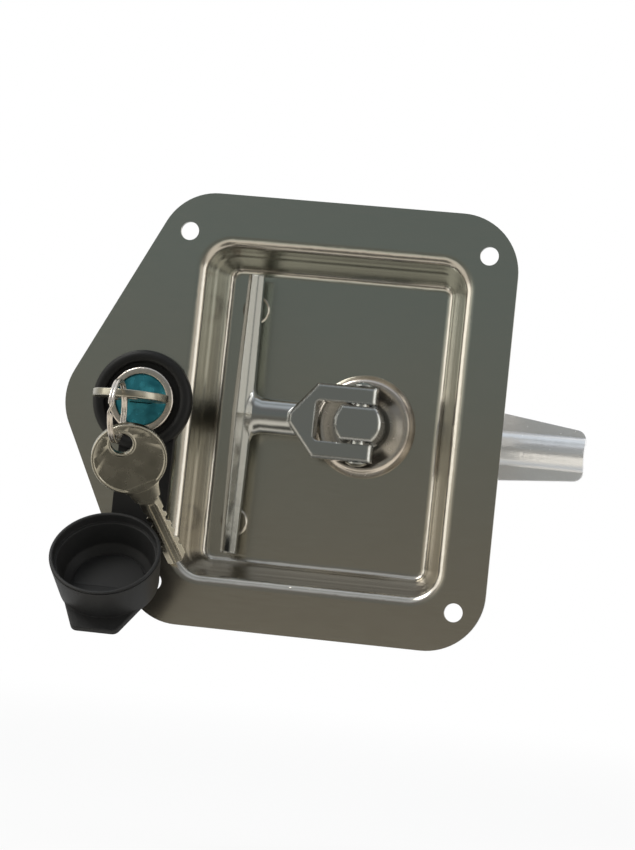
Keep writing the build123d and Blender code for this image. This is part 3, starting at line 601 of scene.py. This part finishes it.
# %% Split ring
ring_lean = math.radians(1.0)
ring_centre = np.array((-63.1883, -34.9923, -5.599))
ring_down = np.array((math.sin(ring_lean), 0, -math.cos(ring_lean)))
ring_side = np.array((-math.cos(ring_lean), 0, -math.sin(ring_lean)))
ring_front = np.array((0, -1, 0))


def superellipse(angle, wave, half_width):
    """half_width * sign(w) * |w| ** 0.6, where w is the sine or cosine of the angle."""
    return half_width * np.sign(wave(angle)) * np.abs(wave(angle)) ** 0.6


def split_ring_grid(radius=10.2, half_height=0.625, half_width=0.49, end=0.16, step=0.14):
    """Two turns at angle a from end to 4 pi - end: centre + (radius + out) * spoke(a) + sideways,
    where sideways goes from -half_width to half_width between 2 pi - step and 2 pi + step."""
    a = np.linspace(end, 4 * np.pi - end, 385)[:, None]
    blend = np.clip((a - 2 * np.pi + step) / (2 * step), 0, 1)
    sideways = half_width * (2 * blend ** 2 * (3 - 2 * blend) - 1)
    b = np.linspace(0, 2 * np.pi, 20, endpoint=False)
    out = superellipse(b, np.cos, half_height)
    across = superellipse(b, np.sin, half_width)
    spoke = np.cos(a)[..., None] * ring_front + np.sin(a)[..., None] * ring_down
    return ring_centre + (radius + out)[None, :, None] * spoke + (sideways + across)[..., None] * ring_side


surface("wire_ring", [(capped(split_ring_grid()), False)], satin_metal, "ring", "split_ring")

# %% [markdown]
# A flat cabinet key is stamped: the rim of the round bow and the edge of its hole are
# raised. Insets and bevels on a disc could make both, but one formula gives them the same
# soft section all the way round: the bow is a ring of points between two circles, the hole's
# and the rim's, and its height is read from the distance to each.

# %% Bow of a key
bow_radius, hole_radius, hole_x = 12.85, 3.75, -6.25
half_thickness = 1
neck_angle, neck_fade = 0.40, 0.16


def rim_bead(distance):
    """Half an ellipse 0.25 high and 1.1 wide, with its middle 0.5 from an edge."""
    return 0.25 * np.sqrt(np.clip(1 - ((distance - 0.5) / 0.55) ** 2, 0, 1))


def rolled_edge(distance):
    """What a rounded edge of radius 0.2 takes off the height."""
    near = 1 - np.clip(distance / 0.2, 0, 1)
    return 0.2 * (1 - np.sqrt(1 - near ** 2))


def bow_grid():
    """Points on lines from the hole's circle to the rim's, close together near both, in the key's
    own x, y and height: half the thickness + beads - rolled edges. The rim's bead ends at the neck."""
    angle = np.linspace(0, 2 * np.pi, 160, endpoint=False)
    spoke = np.stack((np.cos(angle), np.sin(angle)), -1)
    hole = np.array((hole_x, 0))
    inner, outer = hole + hole_radius * spoke, bow_radius * spoke
    span = np.linalg.norm(outer - inner, axis=1)
    near = np.array((0, 0.04, 0.1, 0.18, 0.28, 0.4, 0.55, 0.7, 0.85, 0.97, 1.05, 1.25, 1.4))[:, None]
    walk = np.concatenate((near + 0 * span, span - near[::-1])) / span
    place = inner + (outer - inner) * walk[..., None]
    from_hole = np.linalg.norm(place - hole, axis=-1) - hole_radius
    from_rim = bow_radius - np.linalg.norm(place, axis=-1)
    from_neck = np.abs(np.angle(np.exp(1j * angle))) - neck_angle
    bead = rim_bead(from_hole) + rim_bead(from_rim) * np.clip(from_neck / neck_fade, 0, 1)
    height = (half_thickness + bead - rolled_edge(from_hole) - rolled_edge(from_rim))[..., None]
    front = np.concatenate((place, height), -1)
    return np.concatenate((front, front[::-1] * (1, 1, -1)))


print("bow:", bow_grid().shape[:2], "rows and columns")

# %% [markdown]
# The blade is a section carried along the key. Its edges carry the notches and end in two
# slanted corners, its middle has a fine groove, and its flanks were milled thinner towards
# the edges. They begin in two slanted shoulders below the bow, which catch the light. Each
# cut could be a Boolean, but taking it off the width or the height keeps the quads even.

# %% Blade of a key
neck_x = (10.2, 10.6, 11, 11.5, 12, 12.6, 16.2, 16.3)
neck_half_width = (7.25, 6.75, 6.38, 6.03, 5.76, 5.4, 4.4, 3.6)
blade_end, blade_half_width, blade_half_thickness = 42, 3.6, 0.985
upper_corner_x, lower_corner_x = 39.8, 41.4
notch_x, notch_half_flat, notch_slope = 22 + 3.4 * np.arange(5), 0.5, 1.4
notch_depths = np.array((0.7, 1.1, 0.5, 1.0, 0.6))
shoulder_x, shoulder_length, shoulder_depth = 17.2, 3.3, 0.35
flank_start, flank_reach, flank_slope = 1.8, 1.6, 0.24
groove_x, groove_run, groove_depth, groove_half_width = 18.2, 0.8, 0.5, 0.85


def blade_grid():
    """Section at x: half width from the neck's table less the deepest notch there, where a notch
    is its depth - slope * distance. Height: half the thickness - flank - groove - rounded edge."""
    x = np.linspace(neck_x[0], blade_end, 319)[:, None]
    widths = np.interp(x, neck_x, neck_half_width)
    slope = np.clip(np.abs(x - notch_x) - notch_half_flat, 0, None) * notch_slope
    upper = widths - np.clip(notch_depths - slope, 0, None).max(axis=1, keepdims=True)
    lower = -widths + np.clip(notch_depths[::-1] - slope, 0, None).max(axis=1, keepdims=True)
    upper_corner = np.minimum(upper, blade_half_width + upper_corner_x - x)
    lower_corner = np.maximum(lower, x - lower_corner_x - blade_half_width)
    upper = np.where(x < upper_corner_x, upper, upper_corner)
    lower = np.where(x < lower_corner_x, lower, lower_corner)
    lines = np.array((-1.9, -1.7, -0.9, -0.8, 0.8, 0.9, 1.7, 1.9))
    y = np.concatenate((lower, lower + 0.08, lower + 0.18, np.clip(lines, lower + 0.18, upper - 0.18),
                        upper - 0.18, upper - 0.08, upper), axis=1)
    off_middle = np.abs(y)
    flank = np.clip((x - shoulder_x) / shoulder_length, 0, 1)
    flank = flank * (shoulder_depth + flank_slope * np.clip(off_middle - flank_start, 0, flank_reach))
    groove = groove_depth * np.clip((x - groove_x) / groove_run, 0, 1)
    z = blade_half_thickness - flank * (off_middle > flank_start) - groove * (off_middle < groove_half_width)
    z = z - np.array((0.2, 0.06, 0, 0, 0, 0, 0, 0, 0, 0, 0, 0, 0.06, 0.2))
    front = np.stack((x + 0 * y, y, z), -1)
    return capped(np.concatenate((front, front[:, ::-1] * (1, 1, -1)), axis=1))


print("blade:", blade_grid().shape[:2], "rows and columns")

# %% [markdown]
# Both keys are the same piece. One stands straight out of the plug, and the other hangs from
# the ring and leans outwards, so each gets a centre, a direction along it and one upwards.

# %% Both keys
key_lean, key_tilt = math.radians(26.5), math.radians(30)
hanging_along = np.array((math.cos(key_tilt) * math.sin(key_lean), math.sin(key_tilt),
                          -math.cos(key_tilt) * math.cos(key_lean)))
hanging_up = np.cross(hanging_along, (math.cos(key_lean), 0, math.sin(key_lean)))


def place_key(grid, centre, along, up):
    """From the key's own x, y and height: centre + x * along + y * (up cross along) + height * up."""
    return np.array(centre) + grid @ np.array((along, np.cross(up, along), up))


for name, body, centre, along, up in (
    ("key_in_lock", "plug", (lock_x, -21.7, lock_z), (0, 1, 0), (0, 0, 1)),
    ("key_hanging", "hanging_key", (-59.7483, -24.8793, -20.5603), hanging_along, hanging_up),
):
    bow = place_key(bow_grid(), centre, along, up)
    blade = place_key(blade_grid(), centre, along, up)
    surface("cut_" + name, [(bow, True), (blade, False)], key_nickel, body, name)

# %% [markdown]
# The dust cap is moulded rubber, so none of its edges is sharp. A Bevel modifier on the
# solid's triangles would round them unevenly, so the cap is new. Its cup is a rounded profile
# turned round the axis of its mouth: floor, wall, rim, the step that snaps over the bezel,
# and the inside. The pull tab is a plate with rounded edges, built from its outline.

# %% Dust cap
opened = math.radians(138)
mouth_centre = np.array((-64.4, -25.8443, -52.8812))
mouth_out = np.array((0, math.cos(opened), math.sin(opened)))
to_hinge = np.cross(mouth_out, (1, 0, 0))
cup_depth = 16
cup_profile = rounded((
    (0, -cup_depth, 0), (17, -cup_depth, 1.4), (19, -1.2, 0.7), (19, 0, 0.75), (17.7, 0, 0.5),
    (17.7, -3.2, 0.25), (16.7, -3.2, 0.45), (15.3, -11.6, 0.6), (12.9, -13.7, 0.2), (12.5, -14.3, 0.12),
    (12.1, -14, 0.15), (0, -14, 0),
))


def tab_grid(thickness=2.2, soft=0.5):
    """Rows from the lower face to the upper one: the outline, moved towards its middle by
    soft * (1 - sin(turn)) and then soft * (1 - cos(turn)) where the edge rounds off."""
    outline = rounded(((-16.6, -3, 0.5), (16.6, -3, 0.5), (7.7, -22.5, 1.8), (-7.7, -22.5, 1.8)))
    inward = outline.mean(axis=0) - outline
    inward = inward / np.linalg.norm(inward, axis=1, keepdims=True)
    turn = np.linspace(0, np.pi / 2, 6)
    inset = soft * np.concatenate((1 - np.sin(turn), 1 - np.cos(turn)))[:, None, None]
    level = np.concatenate((soft * (1 - np.cos(turn)), thickness - soft * (1 - np.sin(turn))))[:, None, None]
    flat = outline + inward * inset
    along_plate = flat[..., :1] * np.array((1, 0, 0)) + flat[..., 1:] * to_hinge
    return mouth_centre + along_plate + (level - cup_depth) * mouth_out


surface("soft_cap", [(turned(cup_profile, mouth_centre, mouth_out, 160), False), (capped(tab_grid()), False)],
        cap_rubber, "cap", "dust_cap")

# %% [markdown]
# The cylinder's housing is one turning: a polished bezel in front and a threaded body with
# two flats behind. A Screw modifier could make the thread, but its ends would have to be
# joined to the bezel. A wave of the radius that moves on by one pitch in a full turn stays
# part of the same grid, and the flats simply cap the height of the body's points.

# %% Threaded cylinder housing
body_radius, bezel_back, thread_start = 9.5, -2.65, 0.6


def housing_grid(pitch=1.0, depth=0.45, flat=8.2, columns=128):
    """Turned profile. On the thread the radius loses depth * wave(height / pitch + turns), and
    behind the bezel the height stays between -flat and flat."""
    front = rounded(((9.03, -3.4, 0), (9.03, -6, 0.25), (11.4, -6, 0.9), (11.4, -2.7, 0.15),
                     (body_radius, -2.7, 0)))
    height = np.linspace(-2.6, 20.3, 262)[:, None]
    body = np.concatenate((0 * height + body_radius, height), axis=1)
    profile = np.concatenate((front, body, ((8.9, 20.9), (6.58, 20.9), (6.58, -3.4))))
    grid = turned(profile, (0, 0, 0), (0, 1, 0), columns)
    turns = np.linspace(0, 1, columns, endpoint=False)
    threaded = ((profile[:, 1] > thread_start) & (profile[:, 0] > 9.2))[:, None]
    wave = 0.5 - 0.5 * np.cos(2 * np.pi * (profile[:, 1:] / pitch + turns))
    grid = grid * (1 - threaded * depth * wave / body_radius)[..., None] * (1, 0, 1) + grid * (0, 1, 0)
    behind_bezel = profile[:, 1] > bezel_back
    grid[behind_bezel, :, 2] = np.clip(grid[behind_bezel, :, 2], -flat, flat)
    return grid + np.array((lock_x, 0, lock_z))


surface("threaded_housing", [(housing_grid(), True)], satin_metal, "frame", "cylinder_housing")

# %% [markdown]
# The rosette is turned too: a full round bead near its rim, a shallow dish inside it, and
# behind the pan the hub in which the shaft turns. Its highlights run along the bead, so it
# gets a finer profile and more columns than the solid has.

# %% Rosette
rosette_profile = rounded((
    (8.08, 15.7, 0), (10.9, 15.5, 1.2), (15.6, 13.2, 2.2), (18, 16.1, 0.3), (18, 16.8, 0),
    (10.4, 16.8, 0), (10.4, 20.8, 0), (8.08, 20.8, 0),
))
surface("turned_rosette", [(turned(rosette_profile, (shaft_x, 0, 0), (0, 1, 0), 160), True)],
        satin_metal, "frame", "rosette_bushing")
